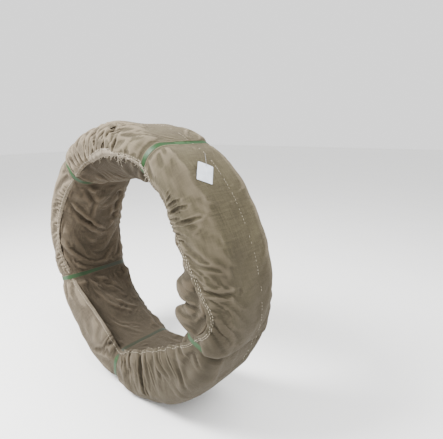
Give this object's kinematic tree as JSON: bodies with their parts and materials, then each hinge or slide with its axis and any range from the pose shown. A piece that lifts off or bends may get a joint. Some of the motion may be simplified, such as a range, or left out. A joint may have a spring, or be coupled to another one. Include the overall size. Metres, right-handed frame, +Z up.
{
  "type": "coil of cold heading wire",
  "caption": "Coil of cold heading wire in a gathered hessian wrap, held by green straps through its bore, with a blank tied label; it stands on its rim.",
  "frame": {"origin": "on the floor under the middle of the coil, at the bottom centre of its box", "axes": "+Z up, Y along the coil's axis with the front end towards -Y, X across the coil"},
  "size_m": [1.1999, 0.346, 1.2],
  "materials": {
    "steel_wire": "drawn, with a thin grey coating",
    "cover_hessian": "coarse plain weave, matt",
    "lining_hessian": "coarse plain weave, matt",
    "green_strap": "smooth, slightly shiny",
    "label_card": "smooth and bare",
    "tie_wire": "thin bare wire"
  },
  "bodies": {
    "root": {"wire_coil": "steel_wire", "outer_cover": "cover_hessian", "bore_lining": "lining_hessian", "strap_upper_right": "green_strap", "strap_upper_left": "green_strap", "strap_left": "green_strap", "strap_bottom": "green_strap", "strap_lower_right": "green_strap", "label": "label_card", "label_tie": "tie_wire"}
  },
  "joints": []
}
